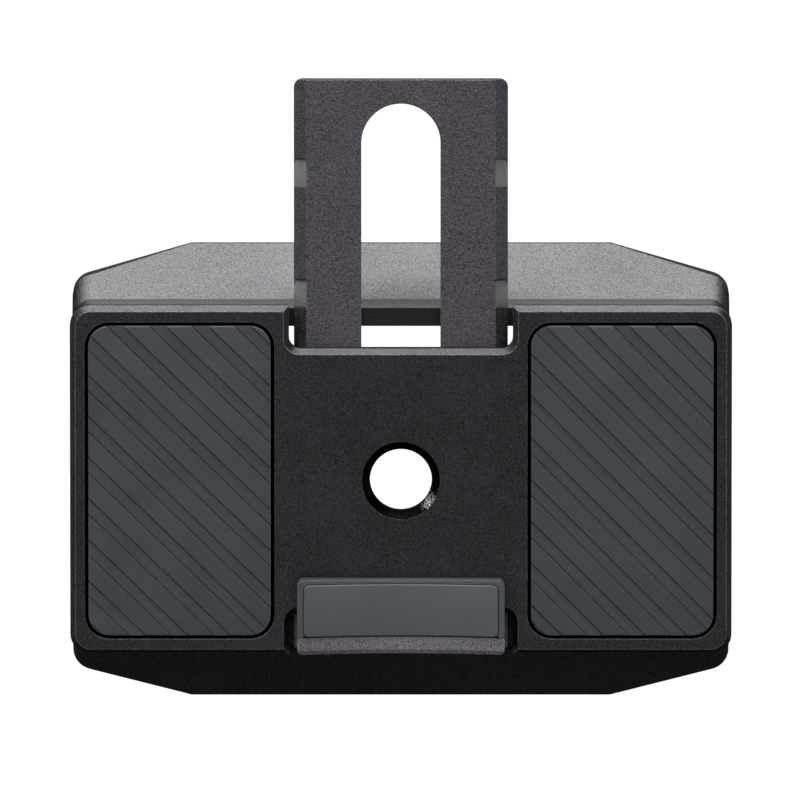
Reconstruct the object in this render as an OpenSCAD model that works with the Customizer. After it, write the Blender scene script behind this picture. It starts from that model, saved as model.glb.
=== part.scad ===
// Camera mounting block: a dovetail plate with two ribbed rubber pads and a slotted lens-rest slider.
// Millimetres. +Z is up, out of the pads. +X runs along the block and -Y is the way the lens rest slides out.
// The origin is on the axis of the camera hole, in the plane of the underside.

/* [Top plate] */
// Length of the top plate, end to end
plate_len = 73.6; // [72:0.5:90]
// Width of the top plate, edge to edge
plate_wid = 39.0; // [38.5:0.5:48]
// Thickness of the top plate
plate_t = 2.5; // [2.3:0.1:4]
// Radius of the plate's four corners
plate_r = 2.3; // [1.5:0.1:4]
// Chamfer round the plate's upper edge and its two notches
plate_chamfer = 0.6; // [0.2:0.1:0.8]

/* [Notches] */
// Depth of each notch, from the plate's long edge to the notch's wall
notch_depth = 4.8; // [4:0.1:6]
// Radius of a notch's inner corners
notch_r = 1.2; // [0.6:0.1:2]
// Gap between the slider's edge and a notch's side wall
notch_gap = 0.55; // [0.3:0.05:1]

/* [Camera hole] */
// Diameter of the camera screw's clearance hole
hole_d = 6.9; // [5.7:0.1:8.4]
// Width of the countersink round the hole, cut at 45 degrees
hole_sink = 0.85; // [0.3:0.05:1.2]

/* [Dovetail base] */
// Width across the dovetail's lower edges
dovetail_wid = 50.8; // [49:0.1:61]
// Height of the square land along each lower edge
land_h = 1.0; // [0.5:0.1:2]
// Height of the crease where the sloping flank ends
crease_z = 6.3; // [5.6:0.1:6.6]
// Height of the channel's floor above the underside
floor_z = 7.2; // [7:0.1:9]
// How far the crease stands out past the plate's long edge
crease_out = 0.1; // [0:0.05:0.5]
// How far the base's ends stand back from the plate's ends
end_back = 0.2; // [0:0.05:1]
// Width of the shoulder bevel between the crease and the deck
shoulder_w = 0.8; // [0.3:0.1:1.2]
// Distance from the middle to where the lead-in tapers start
taper_start = 23.4; // [18:0.2:28]
// Angle of the lead-in tapers, in degrees
taper_angle = 16.1; // [8:0.1:20]
// Radius of the base's four corners
base_r = 2.4; // [1.5:0.1:3]

/* [Window in the base] */
// Width of the rim that the window leaves on the fork side, at the deck
window_rim = 2.02; // [1.5:0.01:2.5]
// How far the window's other edge stands back under the plate, from the notch's wall
window_cover = 1.23; // [0.5:0.01:4]
// Length of the wide mouth at the fork side
mouth_len = 3.6; // [3:0.1:4]
// Width of the ledge that carries each edge of the slider
ledge_w = 3.4; // [2:0.1:4]
// Radius of the window's corners
window_r = 1.6; // [0.5:0.1:2]
// Radius of the mouth's corners, which lie out of sight beside the notch
mouth_r = 0.8; // [0.5:0.1:1.2]

/* [Slider] */
// Width of the slider
slider_wid = 23.8; // [19.8:0.1:28.6]
// Thickness of the slider
slider_t = 2.1; // [1.5:0.1:2.1]
// How far the fork stands out past the plate's edge, pushed in
fork_out = 25.0; // [24:0.1:30]
// Radius of the fork's outer corners
fork_r = 0.95; // [0.5:0.05:2]
// How much wider than the camera hole the long slot is, on each side
slot_margin = 0.95; // [0.5:0.05:1.5]
// Metal left between the slot and the fork's outer end
fork_web = 2.65; // [2:0.05:5]
// Metal left between the slot and the post of the lens rest
slot_bridge = 4.83; // [3:0.01:6]
// Width of the bevel along each edge
bevel_w = 1.37; // [0.5:0.01:2]
// Height of that bevel
bevel_h = 0.85; // [0.3:0.05:1.2]
// Distance between two click notches, which is also one click of travel
click_pitch = 13.5; // [12:0.1:14]
// Distance from the fork's outer end to the first click notch
click_first = 8.8; // [7:0.1:10]
// Length of a click notch
click_len = 3.7; // [2:0.1:4]
// Depth of a click notch in the bevel
click_depth = 0.55; // [0.2:0.05:0.7]
// How many click notches each edge has
click_count = 3; // [3:1:3]
// How many clicks the lens rest slides out
click_travel = 2; // [2:1:2]
// Gap above and below the slider, and beside it in its channel
slide_gap = 0.1; // [0.05:0.01:0.2]

/* [Lens rest] */
// How far each end of the lens rest stands in from the slider's edge
rest_step = 0.375; // [0.1:0.025:2]
// Depth of the lens rest along Y
rest_dep = 8.2; // [8:0.05:10]
// Distance from the notch's wall to the post that carries the lens rest
post_gap = 0.5; // [0.3:0.1:1]
// Distance from the plate's edge in to the lens rest's outer face
rest_inset = 0.5; // [0:0.1:1]
// Gap between the plate and the lens rest's underside
rest_lift = 0.3; // [0.2:0.05:1]
// Metal under the rubber at the middle of the lens rest
rest_metal = 0.9; // [0.6:0.1:2]
// Thickness of the lens rest's rubber
rest_rubber_t = 1.0; // [0.6:0.1:2]
// Radius of the cradle that the rubber's face makes
cradle_r = 40; // [30:1:80]
// Radius of the lens rest's corners
rest_r = 0.65; // [0.3:0.05:1.5]
// Width of the metal rim at each end of the rubber
rest_rim = 0.65; // [0.4:0.05:1.5]
// Width of the metal rim along the rubber's inner edge
rest_inner_rim = 0.45; // [0.3:0.05:1.5]
// Width of the metal ledge outside the rubber, bevel included
rest_ledge = 1.85; // [1.4:0.05:3]
// Width of the flat top of that ledge
rest_ledge_top = 0.45; // [0.2:0.05:1]
// How far the ledge's top stands above the rubber
rest_ledge_h = 0.35; // [0.1:0.05:1]

/* [Pads] */
// Web of plate between a notch's chamfer and a pad recess
pad_web = 1.02; // [0.6:0.01:3]
// Rim of plate left at the outer end of each pad recess
pad_rim = 1.65; // [1.2:0.05:3]
// Rim of plate left along each side of a pad recess
pad_side_rim = 1.8; // [1.2:0.05:3]
// Radius of a pad recess's corners
recess_r = 2.7; // [2:0.1:4]
// Depth of a pad recess
recess_depth = 1.3; // [1:0.05:1.5]
// Gap round a pad in its recess
pad_gap = 0.4; // [0.1:0.05:0.6]
// Thickness of the adhesive under each rubber piece
adhesive_t = 0.15; // [0.1:0.01:0.3]
// How far the pads' ribs stand above the plate
rib_proud = 0.3; // [0.1:0.05:0.8]
// Depth of the grooves between the ribs
groove_depth = 0.1; // [0.1:0.05:0.6]
// Distance from one rib to the next, across the ribs
rib_pitch = 3.3; // [2:0.05:5]
// Width of a rib
rib_wid = 1.85; // [1:0.05:2.4]
// Angle that the ribs make with the block's length, in degrees
rib_angle = 45; // [30:1:60]

/* [Fasteners and springs] */
// Distance of the plate screws from the side of the pad recess that hides them
screw_in = 5.2; // [4:0.1:8]
// Diameter of a plate screw's shank
screw_d = 2.5; // [2:0.1:3]
// Diameter of a plate screw's countersunk head
screw_head_d = 4.4; // [3.6:0.1:5]
// Length of a plate screw
screw_len = 6.5; // [5:0.5:8]
// Diameter of the locating dowels
dowel_d = 2.0; // [1.5:0.1:2.5]
// Length of the locating dowels
dowel_len = 4.0; // [3:0.5:5]
// Diameter of the pins that stop the slider
stop_d = 3.0; // [2:0.1:3.5]
// Depth that a stop pin is pressed into the plate
stop_seat = 1.4; // [1:0.1:1.6]
// How far past the last click the front pin stops the slider
stop_past = 0.45; // [0.05:0.05:0.6]
// Thickness of a click spring's strip
spring_t = 0.3; // [0.2:0.05:0.4]
// Height of a click spring's strip
spring_h = 1.6; // [1:0.1:1.8]
// Length of a click spring's free stretch
spring_len = 12; // [11:0.5:12.5]
// Radius of the bump that drops into the click notches
bump_r = 0.5; // [0.4:0.05:0.6]
// How far the bump reaches in past the slider's side
bump_reach = 0.4; // [0.3:0.05:0.5]

/* [Hidden] */
$fn = 48;

tiny = 0.01;     // overlap that keeps a cut from ending on a face
over = 1;        // how far a cut runs past the face that it opens
hull_fn = 64;    // facets of the rounded corners that a hull joins
left = -1;
right = 1;
front = 1;       // the fork side, +Y
back = -1;       // the lens-rest side, -Y

// Heights
slider_z0 = floor_z + slide_gap;
slider_z1 = slider_z0 + slider_t;
plate_z0 = slider_z1 + slide_gap;
plate_z1 = plate_z0 + plate_t;
recess_z = plate_z1 - recess_depth;

// Top plate
plate_y = plate_wid / 2;
slider_half = slider_wid / 2;
notch_half = slider_half + notch_gap;
notch_y = plate_y - notch_depth;

// Base
base_x = plate_len / 2 - end_back;
crease_y = plate_y + crease_out;
deck_y = crease_y - shoulder_w;
dovetail_y = dovetail_wid / 2;
flank_run = (dovetail_y - crease_y) / (crease_z - land_h);
flank_past = 0.05;           // how far the flanks run past the ends before the plan trims them
corner_x = base_x - base_r;
corner_y = dovetail_y - (corner_x - taper_start) * tan(taper_angle) - base_r / cos(taper_angle);
window_front = deck_y - window_rim;
window_back = notch_y - window_cover;
window_len = window_front + window_back;
channel_half = slider_half + slide_gap;
window_half = channel_half - ledge_w;
mouth_half = notch_half + mouth_r;
relief_gap = 0.1;
relief_back = 0.7;
relief_half = notch_half + relief_gap;
relief_y = notch_y - relief_back;    // where the channel widens to just past the notch's width

// Pads
pad_in = notch_half + plate_chamfer + pad_web;
recess_len = plate_len / 2 - pad_rim - pad_in;
recess_x = pad_in + recess_len / 2;
recess_wid = plate_wid - 2 * pad_side_rim;
screw_y = recess_wid / 2 - screw_in;
pad_len = recess_len - 2 * pad_gap;
pad_wid = recess_wid - 2 * pad_gap;
pad_r = recess_r - pad_gap;
adhesive_in = 0.5;           // how far the adhesive stands in from the pad's edge
pad_z0 = recess_z + adhesive_t;
rib_z1 = plate_z1 + rib_proud;
groove_z = rib_z1 - groove_depth;

// Slider and lens rest. Y distances on the slider are at rest, pushed in.
fork_end = plate_y + fork_out;
slot_wid = hole_d + 2 * slot_margin;
rest_len = slider_wid - 2 * rest_step;
rest_y0 = -plate_y + rest_inset;
rest_y1 = rest_y0 + rest_dep;
post_y1 = -notch_y - post_gap;
slot_y1 = fork_end - fork_web;
slot_y0 = post_y1 + slot_bridge;
bevel_slope = atan(bevel_h / bevel_w);
notch_in = 0.05;             // how far a click notch reaches past the bevel's inner edge
rest_z0 = plate_z1 + rest_lift;
rest_floor_z = rest_z0 + rest_metal;
rest_rubber_z = rest_floor_z + adhesive_t + rest_rubber_t;
cradle_z = rest_rubber_z + cradle_r;
rest_half = rest_len / 2;
rim_drop = 0.1;              // how far the metal rim lies below the rubber
rest_top_z = cradle_z - sqrt(pow(cradle_r - rest_ledge_h, 2) - pow(rest_half, 2)) + over;
rubber_gap = 0.05;           // gap round the rubber in its seat
film_gap = 0.4;              // how far the adhesive stands in from the seat's edge
rubber_y0 = rest_y0 + rest_ledge;
rubber_y1 = rest_y1 - rest_inner_rim;
travel = click_travel * click_pitch;

// Stop pins stand in the slider's slot. The back one is a hair clear of the slot's end at rest.
stop_clear = 0.05;
stop_front_y = slot_y1 - travel - stop_d / 2 - stop_past;
stop_back_y = slot_y0 + stop_d / 2 + stop_clear;

// Screws: the head fills the metal left under the recess, less a thin seat
head_seat = 0.1;
head_h = plate_t - recess_depth - head_seat;
socket_depth = 0.9;
socket_d = 1.75;
screw_end_gap = 0.5;         // hole left under a screw's end

// Click springs. The bump sits in a click notch, against its steep end, at rest and at full travel.
bump_gap = 0.05;
bump_h = 0.7;
bump_z = slider_z1 - bevel_h + bump_gap;
click_spring_y = fork_end - click_first - travel - bump_r - bump_gap;
bump_x = slider_half - bump_reach + bump_r;
spring_x = bump_x + bump_r - spring_t;
spring_y0 = click_spring_y - 0.75 * spring_len;
spring_lift = 0.2;
spring_z0 = slider_z0 + spring_lift;
spring_seat = 1.2;
spring_room = 0.7;           // room for the strip to flex outwards
pocket_x = spring_x + spring_t + spring_room;
seat_gap = 0.02;

// ---- Shapes that repeat -------------------------------------------------------------------------

// A rounded rectangle about the middle, with true arcs
module rounded(w, d, r) {
    square([w - 2 * r, d], center = true);
    square([w, d - 2 * r], center = true);
    for (x = [-1, 1], y = [-1, 1])
        translate([x * (w / 2 - r), y * (d / 2 - r)]) circle(r);
}

// A slab with rounded corners that runs from one outline up to another
module tapered_slab(w0, d0, r0, z0, w1, d1, r1, z1) {
    hull()
        for (x = [-1, 1], y = [-1, 1]) {
            translate([x * (w0 / 2 - r0), y * (d0 / 2 - r0), z0])
                cylinder(tiny, r0, r0, $fn = hull_fn);
            translate([x * (w1 / 2 - r1), y * (d1 / 2 - r1), z1 - tiny])
                cylinder(tiny, r1, r1, $fn = hull_fn);
        }
}

// ---- Top plate ----------------------------------------------------------------------------------

// The plate's outer body, chamfered round its upper edge
module plate_body() {
    hull()
        for (x = [-1, 1], y = [-1, 1])
            translate([x * (plate_len / 2 - plate_r), y * (plate_y - plate_r), plate_z0]) {
                cylinder(plate_t - plate_chamfer, plate_r, plate_r, $fn = hull_fn);
                cylinder(plate_t, plate_r - plate_chamfer, plate_r - plate_chamfer, $fn = hull_fn);
            }
}

// One notch, open at the plate's edge, with the same chamfer round its mouth
module notch_cut(side) {
    reach = notch_depth + over;
    translate([0, side * (notch_y + reach / 2 + notch_r), 0]) {
        translate([0, 0, plate_z0 - over])
            linear_extrude(plate_t + 2 * over)
                rounded(2 * notch_half, reach + 2 * notch_r, notch_r);
        tapered_slab(
            2 * notch_half - 2 * tiny, reach + 2 * notch_r - 2 * tiny, notch_r - tiny,
            plate_z1 - plate_chamfer - tiny,
            2 * (notch_half + plate_chamfer + tiny), reach + 2 * (notch_r + plate_chamfer + tiny),
            notch_r + plate_chamfer + tiny, plate_z1 + 2 * tiny
        );
    }
}

module top_plate() {
    color([0.17, 0.16, 0.18])
    difference() {
        plate_body();
        notch_cut(front);
        notch_cut(back);
        translate([0, 0, plate_z0 - over]) cylinder(plate_t + 2 * over, d = hole_d);
        translate([0, 0, plate_z1 - hole_sink])
            cylinder(hole_sink + tiny, hole_d / 2, hole_d / 2 + hole_sink + tiny);
        for (side = [left, right]) {
            translate([side * recess_x, 0, recess_z])
                linear_extrude(recess_depth + over) rounded(recess_len, recess_wid, recess_r);
            translate([side * recess_x, 0, plate_z0 - over]) cylinder(recess_depth + 2 * over, d = dowel_d);
            for (y = [-1, 1])
                translate([side * recess_x, y * screw_y, 0]) plate_screw_hole();
        }
        for (y = [stop_front_y, stop_back_y])
            translate([0, y, plate_z0 - over]) cylinder(stop_seat + over, d = stop_d);
    }
}

// ---- Dovetail base ------------------------------------------------------------------------------

// Plan of the base: straight long edges, tapered ends and round corners
module base_plan() {
    hull() {
        for (x = [-1, 1], y = [-1, 1]) {
            translate([x * corner_x, y * corner_y]) circle(base_r, $fn = hull_fn);
            translate([x * taper_start, y * (dovetail_y - tiny)]) square(2 * tiny, center = true);
        }
    }
}

// The sloping flanks up to the crease, which the plan then trims
module flanks() {
    wide = 2 * (base_x + flank_past);
    tapered_slab(
        wide, 2 * (crease_y + flank_run * (crease_z + over)), base_r, -over,
        wide, 2 * crease_y, base_r, crease_z
    );
}

// The opening under the slider: a wide mouth at the fork side, then a run between two ledges
module window_cut() {
    translate([0, (window_front - window_back) / 2, -over])
        linear_extrude(floor_z + 2 * over) rounded(2 * window_half, window_len, window_r);
    translate([0, window_front - mouth_len / 2, -over])
        linear_extrude(floor_z + 2 * over) rounded(2 * mouth_half, mouth_len, mouth_r);
}

// The channel that the slider runs in, wider at both ends so that the notches stay open
module channel_cut() {
    translate([-channel_half, -dovetail_y, floor_z]) cube([2 * channel_half, dovetail_wid, plate_z0]);
    for (side = [front, back])
        translate([-relief_half, side > 0 ? relief_y : -dovetail_y, floor_z])
            cube([2 * relief_half, dovetail_y - relief_y, plate_z0]);
}

// The pocket that one click spring flexes in, and the two slits that hold its ends
module spring_pocket(side) {
    for (part = [0, 1]) {
        x0 = part == 0 ? channel_half - tiny : spring_x - seat_gap;
        x1 = part == 0 ? pocket_x : spring_x + spring_t + seat_gap;
        y0 = spring_y0 - (part == 0 ? 0 : spring_seat + seat_gap);
        y1 = spring_y0 + spring_len + (part == 0 ? 0 : spring_seat + seat_gap);
        translate([side > 0 ? x0 : -x1, y0, spring_z0 - seat_gap])
            cube([x1 - x0, y1 - y0, plate_z0]);
    }
}

module base_block() {
    color([0.2, 0.19, 0.2])
    difference() {
        union() {
            intersection() {
                linear_extrude(crease_z) base_plan();
                flanks();
            }
            tapered_slab(
                2 * base_x, 2 * crease_y, base_r, crease_z - tiny,
                2 * (base_x - shoulder_w), 2 * deck_y, base_r - shoulder_w, floor_z
            );
            translate([0, 0, floor_z - over])
                linear_extrude(plate_z0 - floor_z + over)
                    rounded(2 * (base_x - shoulder_w), 2 * deck_y, base_r - shoulder_w);
        }
        window_cut();
        channel_cut();
        for (side = [left, right]) {
            spring_pocket(side);
            translate([side * recess_x, 0, recess_z - adhesive_t - dowel_len])
                cylinder(dowel_len + over, d = dowel_d);
            for (y = [-1, 1])
                translate([side * recess_x, y * screw_y, recess_z - screw_len - screw_end_gap])
                    cylinder(screw_len + over, d = screw_d);
        }
    }
}

// ---- Pads ---------------------------------------------------------------------------------------

// Straight ribs across a pad. They lean the same way on both pads.
module ribs() {
    reach = pad_len + pad_wid;
    count = ceil(reach / rib_pitch / 2);
    rotate(-rib_angle)
        for (i = [-count : count])
            translate([-reach / 2, i * rib_pitch - rib_wid / 2]) square([reach, rib_wid]);
}

module pad(side) {
    translate([side * recess_x, 0, pad_z0]) {
        linear_extrude(groove_z - pad_z0) rounded(pad_len, pad_wid, pad_r);
        linear_extrude(rib_z1 - pad_z0)
            intersection() {
                rounded(pad_len, pad_wid, pad_r);
                ribs();
            }
    }
}

module pad_left() {
    color([0.24, 0.26, 0.27]) pad(left);
}

module pad_right() {
    color([0.24, 0.26, 0.27]) pad(right);
}

module pad_adhesive(side) {
    translate([side * recess_x, 0, recess_z])
        linear_extrude(adhesive_t)
            rounded(pad_len - 2 * adhesive_in, pad_wid - 2 * adhesive_in, pad_r - adhesive_in);
}

module pad_adhesive_left() {
    color([0.75, 0.73, 0.66]) pad_adhesive(left);
}

module pad_adhesive_right() {
    color([0.75, 0.73, 0.66]) pad_adhesive(right);
}

// ---- Slider -------------------------------------------------------------------------------------

// The flat fork, seen from above
module fork_plan() {
    translate([-slider_half, rest_y0]) square([slider_wid, fork_end - fork_r - rest_y0]);
    translate([-slider_half + fork_r, fork_end - 2 * fork_r]) square([slider_wid - 2 * fork_r, 2 * fork_r]);
    for (x = [-1, 1])
        translate([x * (slider_half - fork_r), fork_end - fork_r]) circle(fork_r);
}

module slot_plan() {
    for (y = [slot_y0 + slot_wid / 2, slot_y1 - slot_wid / 2])
        translate([0, y]) circle(slot_wid / 2);
    translate([-slot_wid / 2, slot_y0 + slot_wid / 2]) square([slot_wid, slot_y1 - slot_y0 - slot_wid]);
}

// The bevel along one edge, cut from the slider's side in
module edge_bevel(side) {
    translate([0, fork_end + over, slider_z1])
        rotate([90, 0, 0])
            linear_extrude(fork_end - rest_y0 + 2 * over)
                polygon([
                    [side * (slider_half - bevel_w), 0],
                    [side * slider_half, -bevel_h],
                    [side * (slider_half + over), -bevel_h - over * tan(bevel_slope)],
                    [side * (slider_half + over), over],
                    [side * (slider_half - bevel_w), over]
                ]);
}

// One click notch: square at its outer end, then a ramp that flattens out towards its inner end.
// The ramp starts a hair above the bevel, so that it crosses it at an angle.
module click_notch(side, y) {
    steps = 6;
    lead = 0.02;
    ramp = [
        for (i = [0 : steps])
            let (u = i / steps)
                [-click_len * (1 - u), lead * (1 - u) - click_depth * u * u]
    ];
    reach = 2 * bevel_w;
    translate([side * (slider_half - bevel_w), y, slider_z1])
        rotate([0, side * bevel_slope, 0])
            translate([side > 0 ? -notch_in : notch_in - reach, 0, 0])
                rotate([90, 0, 90])
                    linear_extrude(reach) polygon(concat(ramp, [[0, over], [-click_len, over]]));
}

// Half profile, radius against Y, of what the cradle leaves open above the lens rest
module cradle_cut() {
    rubber_r = cradle_r + rest_rubber_t + adhesive_t;
    rim_r = cradle_r + rim_drop;
    ledge_r = cradle_r - rest_ledge_h;
    translate([0, 0, cradle_z])
        rotate([-90, 0, 0])
            rotate_extrude($fn = 360)
                polygon([
                    [0, rest_y0 - over],
                    [ledge_r, rest_y0 - over],
                    [ledge_r, rest_y0 + rest_ledge_top],
                    [rubber_r - rest_rubber_t, rubber_y0],
                    [rim_r, rubber_y0],
                    [rim_r, rest_y1 + over],
                    [0, rest_y1 + over]
                ]);
}

// The seat that holds the rubber, or with a gap the outline of what lies in it
module rubber_plan(gap) {
    len = rest_len - 2 * rest_rim - 2 * gap;
    dep = rubber_y1 - rubber_y0 - 2 * gap;
    translate([0, (rubber_y0 + rubber_y1) / 2]) rounded(len, dep, rest_r);
}

// A curved slice of the lens rest between two radii of the cradle
module cradle_slice(inner_r, outer_r) {
    translate([0, 0, cradle_z])
        rotate([-90, 0, 0])
            rotate_extrude($fn = 360)
                translate([inner_r, rest_y0 - over])
                    square([outer_r - inner_r, rest_dep + 2 * over]);
}

module slider() {
    color([0.34, 0.33, 0.34])
    difference() {
        union() {
            translate([0, 0, slider_z0])
                linear_extrude(slider_t)
                    difference() {
                        fork_plan();
                        slot_plan();
                    }
            intersection() {
                translate([0, rest_y0 + rest_dep / 2, slider_z0])
                    linear_extrude(rest_top_z - slider_z0) rounded(rest_len, rest_dep, rest_r);
                union() {
                    translate([-slider_half, rest_y0, slider_z0])
                        cube([slider_wid, post_y1 - rest_y0, rest_top_z]);
                    translate([-slider_half, rest_y0, rest_z0]) cube([slider_wid, rest_dep, rest_top_z]);
                }
            }
        }
        cradle_cut();
        intersection() {
            cradle_slice(cradle_r - over, cradle_r + rest_rubber_t + adhesive_t);
            translate([0, 0, rest_z0]) linear_extrude(rest_top_z) rubber_plan(0);
        }
        for (side = [left, right]) {
            difference() {
                edge_bevel(side);
                translate([-slider_wid, rest_y0 - over, slider_z0 - over])
                    cube([2 * slider_wid, post_y1 - rest_y0 + over, rest_top_z]);
            }
            for (i = [0 : click_count - 1])
                click_notch(side, fork_end - click_first - i * click_pitch);
        }
    }
}

module lens_rest_pad() {
    color([0.32, 0.35, 0.36])
    intersection() {
        cradle_slice(cradle_r, cradle_r + rest_rubber_t);
        translate([0, 0, rest_z0]) linear_extrude(rest_top_z) rubber_plan(rubber_gap);
    }
}

module lens_rest_adhesive() {
    color([0.75, 0.73, 0.66])
    intersection() {
        cradle_slice(cradle_r + rest_rubber_t, cradle_r + rest_rubber_t + adhesive_t);
        translate([0, 0, rest_z0]) linear_extrude(rest_top_z) rubber_plan(film_gap);
    }
}

// ---- Springs and fasteners ----------------------------------------------------------------------

module click_spring(side) {
    strip_x = side > 0 ? spring_x : -spring_x - spring_t;
    translate([strip_x, spring_y0 - spring_seat, spring_z0])
        cube([spring_t, spring_len + 2 * spring_seat, spring_h]);
    translate([side * bump_x, click_spring_y, bump_z])
        difference() {
            cylinder(bump_h, r = bump_r);
            translate([0, 0, -over]) cylinder(bump_h + 2 * over, r = bump_r - spring_t / 2);
        }
}

module click_spring_left() {
    color([0.66, 0.66, 0.68]) click_spring(left);
}

module click_spring_right() {
    color([0.66, 0.66, 0.68]) click_spring(right);
}

// The hole for one plate screw, with its countersink in the pad recess
module plate_screw_hole() {
    translate([0, 0, plate_z0 - over]) cylinder(plate_t, d = screw_d);
    translate([0, 0, recess_z - head_h]) cylinder(head_h + tiny, screw_d / 2, screw_head_d / 2 + tiny);
}

module plate_screw(side_x, side_y) {
    color([0.16, 0.16, 0.17])
    translate([side_x * recess_x, side_y * screw_y, recess_z])
        difference() {
            union() {
                translate([0, 0, -screw_len]) cylinder(screw_len - tiny, d = screw_d);
                translate([0, 0, -head_h]) cylinder(head_h, screw_d / 2, screw_head_d / 2);
            }
            translate([0, 0, -socket_depth]) cylinder(socket_depth + over, d = socket_d, $fn = 6);
        }
}

module locating_dowel(side) {
    color([0.6, 0.6, 0.62])
    translate([side * recess_x, 0, recess_z - adhesive_t - dowel_len]) cylinder(dowel_len, d = dowel_d);
}

module stop_pin(y) {
    color([0.6, 0.6, 0.62])
    translate([0, y, slider_z0]) cylinder(plate_z0 + stop_seat - slider_z0, d = stop_d);
}

base_block();
top_plate();
pad_left();
pad_right();
pad_adhesive_left();
pad_adhesive_right();
slider();
lens_rest_pad();
lens_rest_adhesive();
click_spring_left();
click_spring_right();
plate_screw(left, front);  // plate_screw_front_left
plate_screw(right, front);  // plate_screw_front_right
plate_screw(left, back);  // plate_screw_back_left
plate_screw(right, back);  // plate_screw_back_right
locating_dowel(left);  // locating_dowel_left
locating_dowel(right);  // locating_dowel_right
stop_pin(stop_front_y);  // stop_pin_front
stop_pin(stop_back_y);  // stop_pin_back
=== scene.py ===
# %% [markdown]
# # A camera mounting block
# The block is a flat black plate with two ribbed rubber pads, on a base whose long sides slope like a
# dovetail. A slotted grey slider runs between the two and carries a small rubber-faced lens rest.
# Everything is in metres, +Z is up out of the pads, and +Y is the fork side. The metal parts come in
# ready made. This lesson gives them their finishes, makes the rubber parts, and sets up the studio.

import math

import bmesh
import bpy
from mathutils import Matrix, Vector


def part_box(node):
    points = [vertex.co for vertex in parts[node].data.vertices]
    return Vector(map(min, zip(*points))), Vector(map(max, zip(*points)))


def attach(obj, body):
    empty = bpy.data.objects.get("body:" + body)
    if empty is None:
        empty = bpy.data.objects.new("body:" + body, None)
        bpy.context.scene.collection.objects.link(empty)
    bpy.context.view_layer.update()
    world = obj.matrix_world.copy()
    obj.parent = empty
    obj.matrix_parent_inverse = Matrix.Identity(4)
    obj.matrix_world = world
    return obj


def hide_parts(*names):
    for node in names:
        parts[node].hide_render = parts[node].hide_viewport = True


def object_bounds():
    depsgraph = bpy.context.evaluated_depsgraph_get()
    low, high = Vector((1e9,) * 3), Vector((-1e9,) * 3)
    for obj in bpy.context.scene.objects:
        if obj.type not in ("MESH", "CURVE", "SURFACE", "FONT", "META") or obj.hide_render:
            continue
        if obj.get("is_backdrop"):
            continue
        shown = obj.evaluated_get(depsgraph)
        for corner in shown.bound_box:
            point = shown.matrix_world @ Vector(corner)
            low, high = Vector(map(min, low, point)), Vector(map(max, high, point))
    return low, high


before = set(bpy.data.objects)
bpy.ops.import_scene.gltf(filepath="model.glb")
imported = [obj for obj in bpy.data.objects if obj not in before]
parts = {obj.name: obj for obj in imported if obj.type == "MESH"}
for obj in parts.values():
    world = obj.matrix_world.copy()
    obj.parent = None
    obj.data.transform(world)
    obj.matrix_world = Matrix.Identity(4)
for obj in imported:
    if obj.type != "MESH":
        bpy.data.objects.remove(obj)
low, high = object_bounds()
scene = bpy.context.scene
MM = 0.001
print("parts:", len(parts), "size in mm:", [round(v / MM, 1) for v in high - low])

# %% [markdown]
# ## Camera
# A flat product like this is shown nearly square on, so that its outline stays true. A long lens from two
# metres away does that. The camera leans a few degrees towards the fork side, which brings the sloping
# flank behind the plate into view. The picture's width is given as a multiple of the plate's length, so the
# framing follows the part.

# %% Aim the camera
DISTANCE = 2.0
LEAN = math.radians(6.45)
SENSOR = 36.0
VIEW_WIDTH = 1.2078
AIM_SHIFT = Vector((-0.1, -0.52, 0.0)) * MM

plate_low, plate_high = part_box("top_plate")
plate_top = plate_high.z
plate_length = plate_high.x - plate_low.x
aim = (low + high) / 2 + AIM_SHIFT
aim.z = plate_top

camera_data = bpy.data.cameras.new("camera")
camera_data.sensor_width = SENSOR
camera_data.lens = SENSOR * DISTANCE / (VIEW_WIDTH * plate_length)
camera_data.clip_start = 0.1
camera_data.clip_end = 20.0
camera = bpy.data.objects.new("camera", camera_data)
camera.location = aim + DISTANCE * Vector((0.0, math.sin(LEAN), math.cos(LEAN)))
camera.rotation_euler = (-LEAN, 0.0, 0.0)
scene.collection.objects.link(camera)
scene.camera = camera
print("lens in mm:", round(camera_data.lens))

# %% [markdown]
# ## Helpers for node trees
# Finishes and Geometry Nodes are both trees of nodes. Two small helpers keep the rest readable: one adds a
# node and sets it up, the other feeds a socket with either a number or another node's output.

# %% Add a node, feed a socket
def add(tree, kind, **settings):
    made = tree.nodes.new(kind)
    for name, value in settings.items():
        setattr(made, name, value)
    return made


def feed(tree, socket, value):
    if isinstance(value, bpy.types.NodeSocket):
        tree.links.new(value, socket)
    else:
        socket.default_value = value


def compute(tree, operation, first, second=None, third=None):
    made = add(tree, "ShaderNodeMath", operation=operation)
    for socket, value in zip(made.inputs, (first, second, third)):
        if value is not None:
            feed(tree, socket, value)
    return made.outputs[0]


def remap(tree, value, from_low, from_high, to_low, to_high, curve="LINEAR"):
    made = add(tree, "ShaderNodeMapRange", interpolation_type=curve)
    for name, given in zip(
        ("Value", "From Min", "From Max", "To Min", "To Max"),
        (value, from_low, from_high, to_low, to_high),
    ):
        feed(tree, made.inputs[name], given)
    return made.outputs["Result"]


# %% [markdown]
# ## Studio
# The block lies on a lit white table, which is why its holes and its surroundings are plain white and why
# no shadow falls beside it. The table shows to the camera only, so it doesn't light the block, and it is
# clear from below, so the underside can be seen too.

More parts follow.
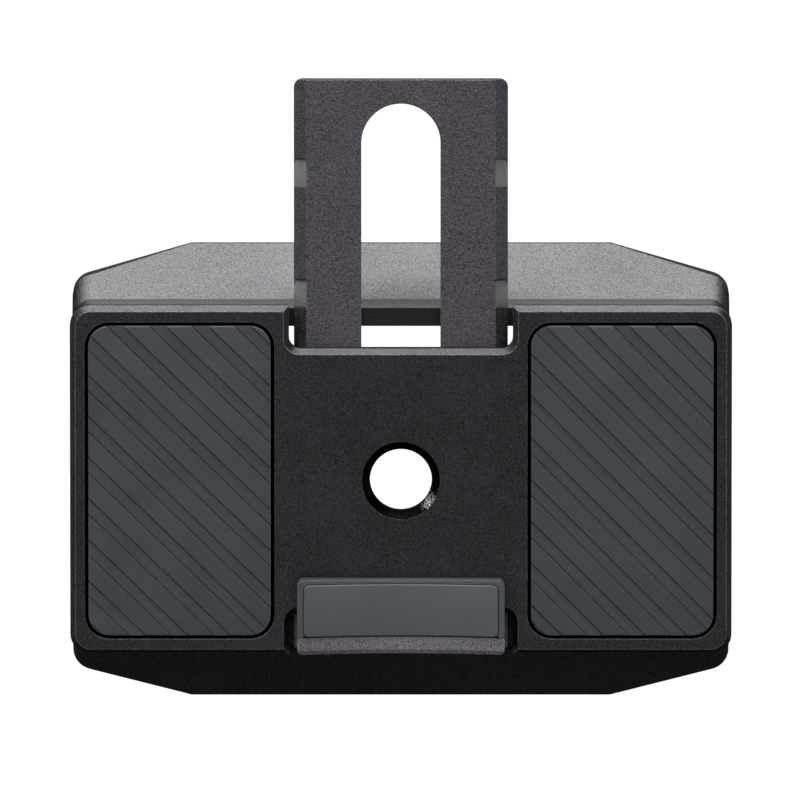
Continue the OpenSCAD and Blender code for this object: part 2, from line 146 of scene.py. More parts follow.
# %% The lit table
def glow(name, strength):
    material = bpy.data.materials.new(name)
    material.use_nodes = True
    tree = material.node_tree
    tree.nodes.clear()
    output = add(tree, "ShaderNodeOutputMaterial")
    light = add(tree, "ShaderNodeEmission")
    clear = add(tree, "ShaderNodeBsdfTransparent")
    face = add(tree, "ShaderNodeNewGeometry")
    choose = add(tree, "ShaderNodeMixShader")
    feed(tree, light.inputs["Strength"], strength)
    feed(tree, choose.inputs[0], face.outputs["Backfacing"])
    feed(tree, choose.inputs[1], light.outputs[0])
    feed(tree, choose.inputs[2], clear.outputs[0])
    feed(tree, output.inputs["Surface"], choose.outputs[0])
    return material


def flat_sheet(name, half_x, half_y, height, material):
    mesh = bpy.data.meshes.new(name)
    corners = [(-half_x, -half_y), (half_x, -half_y), (half_x, half_y), (-half_x, half_y)]
    mesh.from_pydata([(x, y, height) for x, y in corners], [], [(0, 1, 2, 3)])
    mesh.materials.append(material)
    sheet = bpy.data.objects.new(name, mesh)
    scene.collection.objects.link(sheet)
    return sheet


TABLE_HALF = 12.0
TABLE_HEIGHT = -0.4 * MM
WHITE = 1.05

table = flat_sheet("table", TABLE_HALF, TABLE_HALF, TABLE_HEIGHT, glow("table_white", WHITE))
table.visible_diffuse = False
table.visible_glossy = False
table.visible_transmission = False
table.visible_shadow = False
table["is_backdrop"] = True
print("table in m:", 2 * TABLE_HALF)

# %% [markdown]
# ## Light
# A low panel on the fork side does most of the work. It makes the sloping flank and the plate's long chamfer
# shine, while the opposite side of the block stays almost black. It has to be low, because the fork
# overhangs the flank and would shade it from anything higher. Two softboxes above show the flat faces, and
# dim strips at the ends show the short edges. A weak fill faces the panel from the other side, and a small,
# brighter lamp stands off the left corner of the fork side. Every light is an area light, so all the
# reflections are soft. The lights are hidden from the camera.
#
# Each light's place is given as its direction round the block and up from the table, in degrees, and its
# distance in metres.

# %% Panel, softboxes, strips, fill and corner lamp
def soft_light(name, direction, distance, width, height, brightness):
    data = bpy.data.lights.new(name, "AREA")
    data.shape = "RECTANGLE"
    data.size = width
    data.size_y = height
    data.energy = brightness * math.pi * width * height
    light = bpy.data.objects.new(name, data)
    towards = Vector(direction).normalized()
    light.location = aim + distance * towards
    light.rotation_mode = "QUATERNION"
    light.rotation_quaternion = towards.to_track_quat("Z", "Y")
    light.visible_camera = False
    scene.collection.objects.link(light)


def toward(around, up):
    a = math.radians(around)
    e = math.radians(up)
    return (math.sin(a) * math.cos(e), math.cos(a) * math.cos(e), math.sin(e))


# name, degrees round, degrees up, distance, width, height, brightness
LIGHTS = (
    ("low_panel", 0, -2, 1.0, 1.0, 0.36, 17.8),
    ("high_back_softbox", 0, 60, 1.2, 1.4, 0.6, 2.1),
    ("overhead_softbox", 180, 83, 1.2, 0.9, 0.9, 0.58),
    ("left_strip", -90, 12, 0.9, 0.6, 0.4, 1.2),
    ("right_strip", 90, 12, 0.9, 0.6, 0.4, 1.2),
    ("front_fill", 180, 42, 1.2, 0.9, 0.35, 0.45),
    ("corner_kicker", -45, 14, 1.1, 0.3, 0.3, 5.0),
)
for name, around, up, distance, width, height, brightness in LIGHTS:
    soft_light(name, toward(around, up), distance, width, height, brightness)

# %% [markdown]
# The world gives a little even light to the block and plain white to the camera. Standard colour keeps the
# white table white.

# %% World
AMBIENT = 0.06


def studio_world(ambient):
    world = bpy.data.worlds.new("studio")
    world.use_nodes = True
    tree = world.node_tree
    tree.nodes.clear()
    output = add(tree, "ShaderNodeOutputWorld")
    background = add(tree, "ShaderNodeBackground")
    ray = add(tree, "ShaderNodeLightPath")
    strength = remap(tree, ray.outputs["Is Camera Ray"], 0.0, 1.0, ambient, WHITE)
    feed(tree, background.inputs["Strength"], strength)
    feed(tree, background.inputs["Color"], (1.0, 1.0, 1.0, 1.0))
    feed(tree, output.inputs["Surface"], background.outputs[0])
    return world


scene.world = studio_world(AMBIENT)
scene.view_settings.view_transform = "Standard"
print("world ready")

# %% [markdown]
# ## Metal finishes
# All the metals are one recipe with different numbers. Bead blasting leaves fine pits, which show as grain
# in the bump, in the colour and in the gloss. Anodising makes the metal dark. Handling and polishing brighten
# the edges, so the recipe looks for edges with a Bevel node: where the rounded normal leaves the flat one,
# the surface is near an edge. The same Bevel node softens the edges in the light.

# %% The metal recipe
GRAIN_DETAIL = 3.0
GRAIN_RANGE = (0.30, 0.70)
PIT_ROUGHNESS = 0.65
PATCH_SIZE = 9 * MM
PATCH_SHARE = 0.35
EDGE_SAMPLES = 4
EDGE_RANGE = (0.992, 0.950)
WEAR_RANGE = (0.40, 0.60)
WEAR_LEAST = 0.35


def start_material(name):
    material = bpy.data.materials.new(name)
    material.use_nodes = True
    tree = material.node_tree
    tree.nodes.clear()
    output = add(tree, "ShaderNodeOutputMaterial")
    shader = add(tree, "ShaderNodeBsdfPrincipled")
    feed(tree, output.inputs["Surface"], shader.outputs[0])
    return material, tree, shader


def noise(tree, place, size, detail=2.0, roughness=0.5):
    made = add(tree, "ShaderNodeTexNoise")
    feed(tree, made.inputs["Vector"], place)
    feed(tree, made.inputs["Scale"], 1.0 / size)
    feed(tree, made.inputs["Detail"], detail)
    feed(tree, made.inputs["Roughness"], roughness)
    return made.outputs["Fac"]


def tint(tree, mask, dark, light):
    made = add(tree, "ShaderNodeMix", data_type="RGBA")
    feed(tree, made.inputs[0], mask)
    feed(tree, made.inputs[6], (*dark, 1.0))
    feed(tree, made.inputs[7], (*light, 1.0))
    return made.outputs[2]


def edge_mask(tree, soft_normal):
    face = add(tree, "ShaderNodeNewGeometry")
    angle = add(tree, "ShaderNodeVectorMath", operation="DOT_PRODUCT")
    feed(tree, angle.inputs[0], soft_normal)
    feed(tree, angle.inputs[1], face.outputs["Normal"])
    return remap(tree, angle.outputs["Value"], *EDGE_RANGE, 0.0, 1.0, "SMOOTHSTEP")


def metal(name, dark, light, worn, grain, bump, gloss, edge_width, metallic):
    material, tree, shader = start_material(name)
    place = add(tree, "ShaderNodeTexCoord").outputs["Object"]
    pits = noise(tree, place, grain, GRAIN_DETAIL, PIT_ROUGHNESS)
    patches = noise(tree, place, PATCH_SIZE, GRAIN_DETAIL)
    soft = add(tree, "ShaderNodeBevel", samples=EDGE_SAMPLES)
    feed(tree, soft.inputs["Radius"], edge_width)
    edges = edge_mask(tree, soft.outputs[0])
    speckle = remap(tree, pits, *GRAIN_RANGE, 0.0, 1.0)
    mottled = compute(tree, "MULTIPLY_ADD", patches, PATCH_SHARE, speckle)
    shade = tint(tree, remap(tree, mottled, 0.0, 1.0 + PATCH_SHARE, 0.0, 1.0), dark, light)
    broken = remap(tree, pits, *WEAR_RANGE, WEAR_LEAST, 1.0)
    wear = compute(tree, "MULTIPLY", edges, broken)
    colour = add(tree, "ShaderNodeMix", data_type="RGBA")
    feed(tree, colour.inputs[0], wear)
    feed(tree, colour.inputs[6], shade)
    feed(tree, colour.inputs[7], (*worn, 1.0))
    feed(tree, shader.inputs["Base Color"], colour.outputs[2])
    feed(tree, shader.inputs["Roughness"], remap(tree, pits, *GRAIN_RANGE, *gloss))
    relief = add(tree, "ShaderNodeBump")
    feed(tree, relief.inputs["Height"], pits)
    feed(tree, relief.inputs["Distance"], bump)
    feed(tree, relief.inputs["Normal"], soft.outputs[0])
    feed(tree, shader.inputs["Normal"], relief.outputs[0])
    feed(tree, shader.inputs["Metallic"], metallic)
    return material


plate_black = metal(
    "plate_black",
    dark=(0.004, 0.0038, 0.0044),
    light=(0.092, 0.0866, 0.0990),
    worn=(0.45, 0.45, 0.46),
    grain=0.17 * MM,
    bump=0.012 * MM,
    gloss=(0.36, 0.56),
    edge_width=0.17 * MM,
    metallic=1.0,
)
base_black = metal(
    "base_black",
    dark=(0.006, 0.0059, 0.0062),
    light=(0.140, 0.1390, 0.1440),
    worn=(0.16, 0.16, 0.165),
    grain=0.18 * MM,
    bump=0.022 * MM,
    gloss=(0.36, 0.56),
    edge_width=0.10 * MM,
    metallic=1.0,
)
slider_grey = metal(
    "slider_grey",
    dark=(0.022, 0.020, 0.0235),
    light=(0.252, 0.229, 0.266),
    worn=(0.27, 0.26, 0.27),
    grain=0.22 * MM,
    bump=0.060 * MM,
    gloss=(0.42, 0.60),
    edge_width=0.12 * MM,
    metallic=1.0,
)
print("metals:", plate_black.name, base_black.name, slider_grey.name)

# %% [markdown]
# Some places of a metal part look different from the rest of it. Each finish covers a whole part, so a mask
# picks such a place out by its position on the part. Three helpers do the work: one says where a value lies
# between two limits, one gives the position, and one blends a new colour in under a mask.
#
# The two recesses in the plate get painted shade: deeper down, their colour goes nearly black and their
# surface fully rough, because the narrow gap round each pad lies in shade.

# %% Paint shade into the recesses
RECESS_MARGIN = 0.46 * MM
RECESS_FADE = (0.45 * MM, 0.05 * MM)
# Painted shade: the colour the recess floors take on, deeper down, where the gap round each pad is in shade.
RECESS_PAINTED_SHADE = (0.001, 0.001, 0.001)
MASK_EDGE = 0.04 * MM


def between(tree, value, start, end):
    rising = remap(tree, value, start, start + MASK_EDGE, 0.0, 1.0)
    falling = remap(tree, value, end - MASK_EDGE, end, 1.0, 0.0)
    return compute(tree, "MULTIPLY", rising, falling)


def open_finish(material):
    tree = material.node_tree
    shader = next(n for n in tree.nodes if n.type == "BSDF_PRINCIPLED")
    place = add(tree, "ShaderNodeSeparateXYZ")
    feed(tree, place.inputs[0], add(tree, "ShaderNodeTexCoord").outputs["Object"])
    return tree, shader, place


def blend_colour(tree, shader, mask, colour):
    blend = add(tree, "ShaderNodeMix", data_type="RGBA")
    feed(tree, blend.inputs[0], mask)
    feed(tree, blend.inputs[6], shader.inputs["Base Color"].links[0].from_socket)
    feed(tree, blend.inputs[7], (*colour, 1.0))
    feed(tree, shader.inputs["Base Color"], blend.outputs[2])


# Paints shade into both recesses of the plate, by position and depth.
def paint_recess_shade(material):
    tree, shader, place = open_finish(material)
    pad_low, pad_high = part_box("pad_right")
    across = compute(tree, "ABSOLUTE", place.outputs["X"])
    along = compute(tree, "ABSOLUTE", place.outputs["Y"])
    in_x = between(tree, across, pad_low.x - RECESS_MARGIN, pad_high.x + RECESS_MARGIN)
    in_y = between(tree, along, -MM, pad_high.y + RECESS_MARGIN)
    fade_low, fade_high = (plate_top - depth for depth in RECESS_FADE)
    deep = remap(tree, place.outputs["Z"], fade_low, fade_high, 1.0, 0.0)
    inside = compute(tree, "MULTIPLY", compute(tree, "MULTIPLY", in_x, in_y), deep)
    rough = shader.inputs["Roughness"].links[0].from_socket
    blend_colour(tree, shader, inside, RECESS_PAINTED_SHADE)
    feed(tree, shader.inputs["Roughness"], remap(tree, inside, 0.0, 1.0, rough, 1.0))


paint_recess_shade(plate_black)
print("recesses darkened on", plate_black.name)

# %% [markdown]
# The bevel round the camera hole is painted near black as shade, with a flecked patch of painted highlight
# on its lower right. On the base, painted shade sits in the crease where the flank ends and thins out up the
# shoulder. The click notches in the slider's edges are painted brighter, as light on their floors. The metal
# rim round the lens rest's rubber has taken on the rubber's tone, and dirt lines the joint on its outer side.

# %% Hole bevel, crease and click notches
HOLE_BEVEL_RADIUS = 4.32 * MM
# Painted shade: the colour of the whole bevel round the camera hole.
HOLE_PAINTED_SHADE = (0.004, 0.004, 0.004)
# Painted highlight: a flecked bright patch on the bevel's lower right, with its place, reach and strength.
HIGHLIGHT_AT = Vector((3.2, -2.3, 0.0)) * MM
HIGHLIGHT_REACH = 2.2 * MM
HIGHLIGHT_AMOUNT = (0.12, -0.30)
HOLE_PAINTED_HIGHLIGHT = (0.75, 0.75, 0.76)
FLECK_SIZE = 0.16 * MM
FLECK_RANGE = (0.48, 0.64)
CREASE_HEIGHT = 6.3 * MM
CREASE_FADE = 0.15 * MM
# Painted shade in the base's crease, fading out up the shoulder towards the plate.
CREASE_SHADE_AMOUNT = (0.75, 0.15)
CREASE_PAINTED_SHADE = (0.006, 0.006, 0.006)
CLICK_FIRST = 8.8 * MM
CLICK_PITCH = 13.5 * MM
CLICK_WALL = 0.18 * MM
CLICK_LENGTH = 3.2 * MM
CLICK_COUNT = 3
BEVEL_WIDTH = 1.42 * MM
BEVEL_HEIGHT = 1.35 * MM
# Painted light: the colour of the click notches' floors, which face the low panel.
NOTCH_PAINTED_LIGHT = (0.30, 0.30, 0.31)
REST_GAP = 0.12 * MM
RIM_TONE = (0.17, 0.19, 0.20)
JOINT_DIRT = (0.012, 0.012, 0.012)


def distance_from(tree, place, centre):
    flat = add(tree, "ShaderNodeCombineXYZ")
    feed(tree, flat.inputs["X"], place.outputs["X"])
    feed(tree, flat.inputs["Y"], place.outputs["Y"])
    apart = add(tree, "ShaderNodeVectorMath", operation="DISTANCE")
    feed(tree, apart.inputs[0], flat.outputs[0])
    feed(tree, apart.inputs[1], centre)
    return apart.outputs["Value"]


# Paints shade on the hole's bevel and a flecked highlight on part of it.
def paint_hole_shade_and_highlight(material):
    tree, shader, place = open_finish(material)
    from_middle = distance_from(tree, place, (0.0, 0.0, 0.0))
    ring = remap(tree, from_middle, HOLE_BEVEL_RADIUS, HOLE_BEVEL_RADIUS + MASK_EDGE, 1.0, 0.0)
    blend_colour(tree, shader, ring, HOLE_PAINTED_SHADE)
    near = remap(tree, distance_from(tree, place, HIGHLIGHT_AT), 0.0, HIGHLIGHT_REACH, *HIGHLIGHT_AMOUNT)
    position = add(tree, "ShaderNodeTexCoord").outputs["Object"]
    flecks = compute(tree, "ADD", noise(tree, position, FLECK_SIZE), near)
    painted_highlight = compute(tree, "MULTIPLY", ring, remap(tree, flecks, *FLECK_RANGE, 0.0, 1.0))
    blend_colour(tree, shader, painted_highlight, HOLE_PAINTED_HIGHLIGHT)


# Paints shade into the base's crease, darkest at the crease and thinning out up the shoulder.
def paint_crease_shade(material):
    tree, shader, place = open_finish(material)
    height = place.outputs["Z"]
    below = remap(tree, height, CREASE_HEIGHT - CREASE_FADE, CREASE_HEIGHT, 0.0, 1.0)
    above = remap(tree, height, CREASE_HEIGHT, plate_low.z, *CREASE_SHADE_AMOUNT)
    blend_colour(tree, shader, compute(tree, "MULTIPLY", below, above), CREASE_PAINTED_SHADE)


# Paints light into the click notches in the slider's bevels.
def paint_notch_light(material):
    tree, shader, place = open_finish(material)
    box_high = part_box("slider")[1]
    first = box_high.y - parts["slider"].matrix_world.translation.y - CLICK_FIRST
    run = compute(tree, "SUBTRACT", first, place.outputs["Y"])
    cell = compute(tree, "MODULO", run, CLICK_PITCH)
    in_notch = between(tree, cell, CLICK_WALL, CLICK_LENGTH)
    in_row = between(tree, run, 0.0, CLICK_COUNT * CLICK_PITCH)
    side = compute(tree, "ABSOLUTE", place.outputs["X"])
    in_bevel = between(tree, side, box_high.x - BEVEL_WIDTH, box_high.x + MM)
    upper = between(tree, place.outputs["Z"], plate_low.z - BEVEL_HEIGHT, plate_low.z)
    mask = compute(tree, "MULTIPLY", compute(tree, "MULTIPLY", in_notch, in_row), in_bevel)
    blend_colour(tree, shader, compute(tree, "MULTIPLY", mask, upper), NOTCH_PAINTED_LIGHT)


def smear_rest_rim(material):
    tree, shader, place = open_finish(material)
    box_low, box_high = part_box("lens_rest_pad")
    in_y = between(tree, place.outputs["Y"], box_low.y - REST_GAP, box_high.y + MM)
    raised = remap(tree, place.outputs["Z"], box_low.z, box_low.z + MASK_EDGE, 0.0, 1.0)
    side = compute(tree, "ABSOLUTE", place.outputs["X"])
    gap_x = between(tree, side, -MM, box_high.x + REST_GAP)
    gap_y = between(tree, place.outputs["Y"], box_low.y - REST_GAP, box_low.y + REST_GAP)
    gap = compute(tree, "MULTIPLY", compute(tree, "MULTIPLY", gap_x, gap_y), raised)
    blend_colour(tree, shader, compute(tree, "MULTIPLY", in_y, raised), RIM_TONE)
    blend_colour(tree, shader, gap, JOINT_DIRT)


paint_hole_shade_and_highlight(plate_black)
paint_crease_shade(base_black)
paint_notch_light(slider_grey)
smear_rest_rim(slider_grey)
print("marked places on:", plate_black.name, base_black.name, slider_grey.name)

# %% [markdown]
# ## Hidden steel
# Screws, pins and springs are inside the block and show only in places. They still get real finishes: dark
# oxide on the screws, bright ground steel on the pins and dowels, and spring steel on the springs.

# %% Steel finishes
screw_oxide = metal(
    "screw_oxide",
    dark=(0.015, 0.015, 0.017),
    light=(0.035, 0.035, 0.038),
    worn=(0.22, 0.22, 0.22),
    grain=0.10 * MM,
    bump=0.004 * MM,
    gloss=(0.32, 0.45),
    edge_width=0.06 * MM,
    metallic=0.6,
)
pin_steel = metal(
    "pin_steel",
    dark=(0.42, 0.42, 0.43),
    light=(0.56, 0.56, 0.57),
    worn=(0.70, 0.70, 0.70),
    grain=0.08 * MM,
    bump=0.002 * MM,
    gloss=(0.22, 0.34),
    edge_width=0.05 * MM,
    metallic=1.0,
)
spring_steel = metal(
    "spring_steel",
    dark=(0.46, 0.45, 0.44),
    light=(0.60, 0.59, 0.58),
    worn=(0.72, 0.72, 0.72),
    grain=0.06 * MM,
    bump=0.002 * MM,
    gloss=(0.25, 0.38),
    edge_width=0.04 * MM,
    metallic=1.0,
)
print("steels:", screw_oxide.name, pin_steel.name, spring_steel.name)

# %% [markdown]
# ## Rubber and adhesive
# The rubber is dense and matt, a cool dark grey with a faint mould grain. The adhesive is a milky film that
# hides under each rubber piece.

# %% Soft finishes
CLOUD_SIZE = 6 * MM
CLOUD_SHARE = 0.6
TONE_RANGE = (0.45, 1.15)
RUBBER_IOR = 1.45


def rubber(name, dark, light, grain, bump, rough):
    material, tree, shader = start_material(name)
    place = add(tree, "ShaderNodeTexCoord").outputs["Object"]
    fine = noise(tree, place, grain, GRAIN_DETAIL)
    clouds = noise(tree, place, CLOUD_SIZE)
    mixed = compute(tree, "MULTIPLY_ADD", clouds, CLOUD_SHARE, fine)
    shade = tint(tree, remap(tree, mixed, *TONE_RANGE, 0.0, 1.0), dark, light)
    feed(tree, shader.inputs["Base Color"], shade)
    feed(tree, shader.inputs["Roughness"], remap(tree, fine, *GRAIN_RANGE, *rough))
    relief = add(tree, "ShaderNodeBump")
    feed(tree, relief.inputs["Height"], fine)
    feed(tree, relief.inputs["Distance"], bump)
    feed(tree, shader.inputs["Normal"], relief.outputs[0])
    feed(tree, shader.inputs["IOR"], RUBBER_IOR)
    return material


pad_rubber = rubber(
    "pad_rubber",
    dark=(0.057, 0.064, 0.073),
    light=(0.101, 0.113, 0.128),
    grain=0.17 * MM,
    bump=0.010 * MM,
    rough=(0.60, 0.80),
)
rest_rubber = rubber(
    "rest_rubber",
    dark=(0.107, 0.122, 0.133),
    light=(0.143, 0.161, 0.174),
    grain=0.22 * MM,
    bump=0.010 * MM,
    rough=(0.58, 0.74),
)
film = rubber(
    "adhesive_film",
    dark=(0.50, 0.48, 0.42),
    light=(0.62, 0.60, 0.54),
    grain=0.30 * MM,
    bump=0.010 * MM,
    rough=(0.4, 0.6),
)
print("soft finishes:", pad_rubber.name, rest_rubber.name, film.name)

# %% [markdown]
# ## Finishes on the ready-made parts
# A ready-made part keeps its shape and place. Only the material in its slot changes.

# %% Assign the finishes
FINISH = {
    "base_block": base_black,
    "top_plate": plate_black,
    "slider": slider_grey,
    "pad_adhesive_left": film,
    "pad_adhesive_right": film,
    "lens_rest_adhesive": film,
    "click_spring_left": spring_steel,
    "click_spring_right": spring_steel,
    "plate_screw_front_left": screw_oxide,
    "plate_screw_front_right": screw_oxide,
    "plate_screw_back_left": screw_oxide,
    "plate_screw_back_right": screw_oxide,
    "locating_dowel_left": pin_steel,
    "locating_dowel_right": pin_steel,
    "stop_pin_front": pin_steel,
    "stop_pin_back": pin_steel,
    "pad_left": pad_rubber,
    "pad_right": pad_rubber,
    "lens_rest_pad": rest_rubber,
}
for name, finish in FINISH.items():
    slots = parts[name].material_slots
    if len(slots) == 0:
        parts[name].data.materials.append(finish)
    for slot in slots:
        slot.material = finish
print("finished parts:", len(FINISH))

# %% [markdown]
# ## A slab with rounded edges
# Both kinds of rubber piece start as a slab: a rounded rectangle whose upper rim rolls over. It is built from
# rings. Each ring is the outline, drawn in by a little and raised by a little, and the first and last rings
# are closed with a face.

# %% Build a slab from rings
CORNER_STEPS = 10
RIM_STEPS = 6
MERGE_DISTANCE = 1e-7
SHARP_ANGLE = math.radians(35)


def outline(half_x, half_y, radius):
    points = []
    for turn, (sx, sy) in enumerate(((1, 1), (-1, 1), (-1, -1), (1, -1))):
        for i in range(CORNER_STEPS + 1):
            a = math.radians(90 * turn + 90 * i / CORNER_STEPS)
            x = sx * (half_x - radius) + radius * math.cos(a)
            y = sy * (half_y - radius) + radius * math.sin(a)
            points.append((x, y))
    return points


def slab(centre, half_x, half_y, radius, z_low, z_high, rim):
    shape = bmesh.new()
    rings = [(0.0, z_low)]
    for i in range(RIM_STEPS + 1):
        a = math.radians(90 * i / RIM_STEPS)
        rings.append((rim * (1 - math.cos(a)), z_high - rim + rim * math.sin(a)))
    made = []
    for inset, z in rings:
        points = outline(half_x - inset, half_y - inset, radius - inset)
        made.append([shape.verts.new((centre.x + x, centre.y + y, z)) for x, y in points])
    for ring, above in zip(made, made[1:]):
        for i in range(len(ring)):
            j = (i + 1) % len(ring)
            shape.faces.new((ring[i], ring[j], above[j], above[i]))
    shape.faces.new(made[-1])
    shape.faces.new(list(reversed(made[0])))
    bmesh.ops.remove_doubles(shape, verts=shape.verts, dist=MERGE_DISTANCE)
    bmesh.ops.recalc_face_normals(shape, faces=shape.faces)
    return shape


print("slab helper ready")

# %% [markdown]
# ## The ribs of the pads
# Each pad is one moulding with straight ribs across it at about 45 degrees. Ribs repeat by a rule, so
# Geometry Nodes make them: a block is divided finely across the ribs, the height of its upper side follows
# the distance from the nearest rib's middle, and the pad is what the slab and this block have in common. A
# fine crease runs along the foot of each rib, where the mould was cut a little deeper, and reads as a line.

# %% The rib tree
def socket(tree, name, kind, default=None):
    made = tree.interface.new_socket(name=name, in_out="INPUT", socket_type=kind)
    if default is not None:
        made.default_value = default


def rib_tree(finish):
    tree = bpy.data.node_groups.new("pad_ribs", "GeometryNodeTree")
    socket(tree, "Geometry", "NodeSocketGeometry")
    tree.interface.new_socket(name="Geometry", in_out="OUTPUT", socket_type="NodeSocketGeometry")
    for name, default in (
        ("Span", 0.06),
        ("Pitch", 0.0033),
        ("Rib Width", 0.00185),
        ("Soft Edge", 0.00002),
        ("Crease Width", 0.00016),
        ("Crease Depth", 0.00012),
        ("Groove Height", 0.012),
        ("Rib Height", 0.0123),
        ("Depth Below", 0.002),
        ("Turn", 0.7),
    ):
        socket(tree, name, "NodeSocketFloat", default)
    socket(tree, "Centre", "NodeSocketVector")
    socket(tree, "Columns", "NodeSocketInt", 1200)
    given = add(tree, "NodeGroupInput").outputs
    size = add(tree, "ShaderNodeCombineXYZ")
    for axis, name in zip("XYZ", ("Span", "Span", "Depth Below")):
        feed(tree, size.inputs[axis], given[name])
    block = add(tree, "GeometryNodeMeshCube")
    feed(tree, block.inputs["Size"], size.outputs[0])
    feed(tree, block.inputs["Vertices X"], given["Columns"])
    place = add(tree, "ShaderNodeSeparateXYZ")
    feed(tree, place.inputs[0], add(tree, "GeometryNodeInputPosition").outputs[0])
    half_pitch = compute(tree, "MULTIPLY", given["Pitch"], 0.5)
    across = compute(tree, "PINGPONG", place.outputs["X"], half_pitch)
    half = compute(tree, "MULTIPLY", given["Rib Width"], 0.5)
    foot = compute(tree, "ADD", half, given["Soft Edge"])
    step = remap(tree, across, foot, half, given["Groove Height"], given["Rib Height"], "SMOOTHSTEP")
    half_crease = compute(tree, "MULTIPLY", given["Crease Width"], 0.5)
    crease_middle = compute(tree, "ADD", foot, half_crease)
    off_crease = compute(tree, "ABSOLUTE", compute(tree, "SUBTRACT", across, crease_middle))
    sunk = remap(tree, off_crease, 0.0, half_crease, given["Crease Depth"], 0.0)
    rise = compute(tree, "SUBTRACT", step, sunk)
    upper = compute(tree, "GREATER_THAN", place.outputs["Z"], 0.0)
    floor = compute(tree, "SUBTRACT", given["Groove Height"], given["Depth Below"])
    lift = compute(tree, "SUBTRACT", rise, floor)
    height = compute(tree, "ADD", compute(tree, "MULTIPLY", upper, lift), floor)
    formed = add(tree, "ShaderNodeCombineXYZ")
    feed(tree, formed.inputs["X"], place.outputs["X"])
    feed(tree, formed.inputs["Y"], place.outputs["Y"])
    feed(tree, formed.inputs["Z"], height)
    shaped = add(tree, "GeometryNodeSetPosition")
    feed(tree, shaped.inputs["Geometry"], block.outputs["Mesh"])
    feed(tree, shaped.inputs["Position"], formed.outputs[0])
    turn = add(tree, "ShaderNodeCombineXYZ")
    feed(tree, turn.inputs["Z"], given["Turn"])
    placed = add(tree, "GeometryNodeTransform")
    feed(tree, placed.inputs["Geometry"], shaped.outputs[0])
    feed(tree, placed.inputs["Translation"], given["Centre"])
    feed(tree, placed.inputs["Rotation"], turn.outputs[0])
    common = add(tree, "GeometryNodeMeshBoolean", operation="INTERSECT", solver="MANIFOLD")
    feed(tree, common.inputs["Mesh 2"], given["Geometry"])
    feed(tree, common.inputs["Mesh 2"], placed.outputs[0])
    real = add(tree, "GeometryNodeRealizeInstances")
    feed(tree, real.inputs[0], common.outputs["Mesh"])
    dressed = add(tree, "GeometryNodeSetMaterial")
    feed(tree, dressed.inputs["Geometry"], real.outputs[0])
    dressed.inputs["Material"].default_value = finish
    result = add(tree, "NodeGroupOutput")
    feed(tree, result.inputs[0], dressed.outputs[0])
    return tree


ribs = rib_tree(pad_rubber)
print("rib tree nodes:", len(ribs.nodes))

# %% Make both pads
def set_inputs(modifier, values):
    for item in modifier.node_group.interface.items_tree:
        if item.item_type == "SOCKET" and item.name in values:
            modifier[item.identifier] = values[item.name]


def plain_mesh(obj):
    bpy.context.view_layer.update()
    evaluated = obj.evaluated_get(bpy.context.evaluated_depsgraph_get())
    mesh = bpy.data.meshes.new_from_object(evaluated)
    obj.modifiers.clear()
    obj.data = mesh
    obj.data.name = obj.name


def piece(name, shape):
    mesh = bpy.data.meshes.new(name)
    shape.to_mesh(mesh)
    shape.free()
    made = bpy.data.objects.new(name, mesh)
    scene.collection.objects.link(made)
    return made


PAD_RADIUS = 2.3 * MM
PAD_RIM = 0.12 * MM
RIB_PITCH = 3.3 * MM
RIB_WIDTH = 1.85 * MM
RIB_STEP = 0.1 * MM
RIB_ANGLE = {"left": 44.2, "right": 45.2}
RIB_SHIFT = {"left": -0.86 * MM, "right": 0.53 * MM}
SOFT_EDGE = 0.02 * MM
CREASE_WIDTH = 0.16 * MM
CREASE_DEPTH = 0.12 * MM
COLUMN = 0.02 * MM
SPAN_FACTOR = 1.6


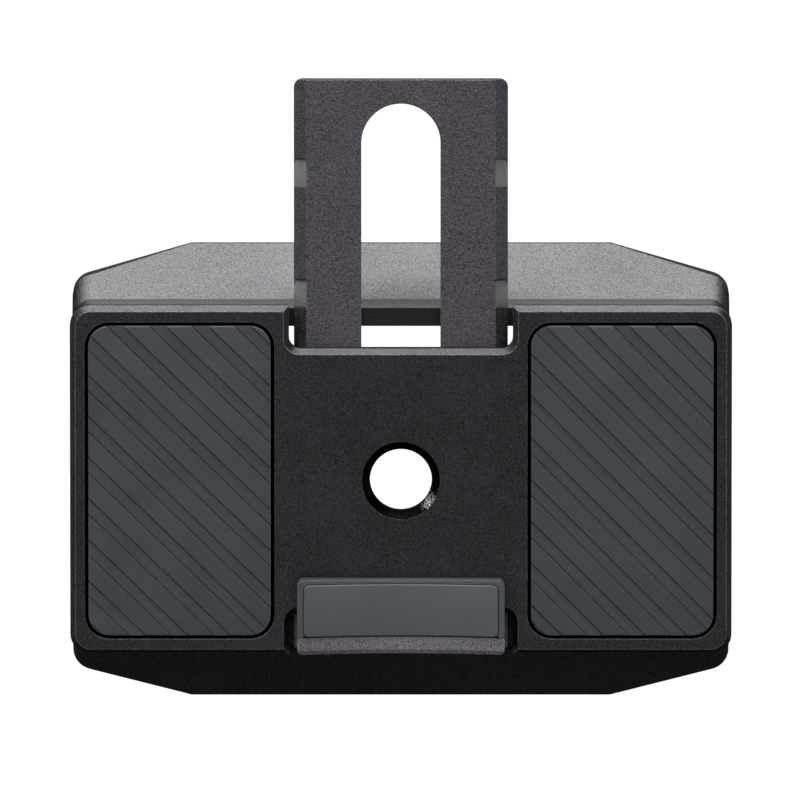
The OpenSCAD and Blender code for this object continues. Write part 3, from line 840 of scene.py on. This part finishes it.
def make_pad(side):
    node = "pad_" + side
    box_low, box_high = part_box(node)
    centre = (box_low + box_high) / 2
    half = (box_high - box_low) / 2
    pad = piece(
        "ribbed_pad_" + side,
        slab(centre, half.x, half.y, PAD_RADIUS, box_low.z, box_high.z, PAD_RIM),
    )
    span = SPAN_FACTOR * (half.x + half.y)
    turn = math.radians(90.0 - RIB_ANGLE[side])
    across = Vector((math.cos(turn), math.sin(turn), 0.0))
    middle = Vector((centre.x, centre.y, 0.0)) + RIB_SHIFT[side] * across
    modifier = pad.modifiers.new("ribs", "NODES")
    modifier.node_group = ribs
    set_inputs(
        modifier,
        {
            "Span": span,
            "Pitch": RIB_PITCH,
            "Rib Width": RIB_WIDTH,
            "Soft Edge": SOFT_EDGE,
            "Crease Width": CREASE_WIDTH,
            "Crease Depth": CREASE_DEPTH,
            "Groove Height": box_high.z - RIB_STEP,
            "Rib Height": box_high.z,
            "Depth Below": 2 * (box_high.z - box_low.z),
            "Turn": turn,
            "Centre": middle,
            "Columns": int(span / COLUMN),
        },
    )
    plain_mesh(pad)
    pad.data.shade_smooth()
    pad.data.set_sharp_from_angle(angle=SHARP_ANGLE)
    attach(pad, "block")
    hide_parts(node)
    print(pad.name, "faces:", len(pad.data.polygons))


for side in ("left", "right"):
    make_pad(side)

# %% [markdown]
# ## The lens rest's rubber
# The rubber facing is a thin strip that bends with the cradle. It starts as the same kind of slab, flat. The
# slab is cut across many times, which gives it columns of points, and each point is then raised by the
# cradle's curve. The rounded rim and the even bend catch the light the way moulded rubber does.

# %% Bend a slab into the cradle
CRADLE_RADIUS = 40.0 * MM
REST_CORNER = 0.6 * MM
REST_RIM = 0.18 * MM
REST_THICK = 1.0 * MM
BEND_STEP = 0.3 * MM
CUT_TOLERANCE = 1e-8


def make_rest():
    box_low, box_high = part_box("lens_rest_pad")
    centre = (box_low + box_high) / 2
    half = (box_high - box_low) / 2
    shape = slab(centre, half.x, half.y, REST_CORNER, box_low.z, box_low.z + REST_THICK, REST_RIM)
    cuts = int(2 * half.x / BEND_STEP)
    for i in range(1, cuts):
        at = Vector((centre.x - half.x + 2 * half.x * i / cuts, 0.0, 0.0))
        everything = shape.verts[:] + shape.edges[:] + shape.faces[:]
        bmesh.ops.bisect_plane(
            shape, geom=everything, plane_co=at, plane_no=(1.0, 0.0, 0.0), dist=CUT_TOLERANCE
        )
    outer = CRADLE_RADIUS + REST_THICK
    for vert in shape.verts:
        depth = vert.co.z - box_low.z
        radius = outer - depth
        x = vert.co.x - centre.x
        vert.co.z = box_low.z + outer - math.sqrt(radius * radius - x * x)
    bmesh.ops.recalc_face_normals(shape, faces=shape.faces)
    rest = piece("lens_rest_rubber", shape)
    rest.data.materials.append(rest_rubber)
    rest.data.shade_smooth()
    rest.data.set_sharp_from_angle(angle=SHARP_ANGLE)
    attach(rest, "slider")
    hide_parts("lens_rest_pad")
    print(rest.name, "faces:", len(rest.data.polygons))


make_rest()

# %% [markdown]
# ## Finish
# The last cell prints the size of the whole model after this lesson, to be compared with the size that the
# first cell printed.

# %% Write the sizes and finish
low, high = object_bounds()
print("finished size in mm:", [round(v / MM, 2) for v in high - low])
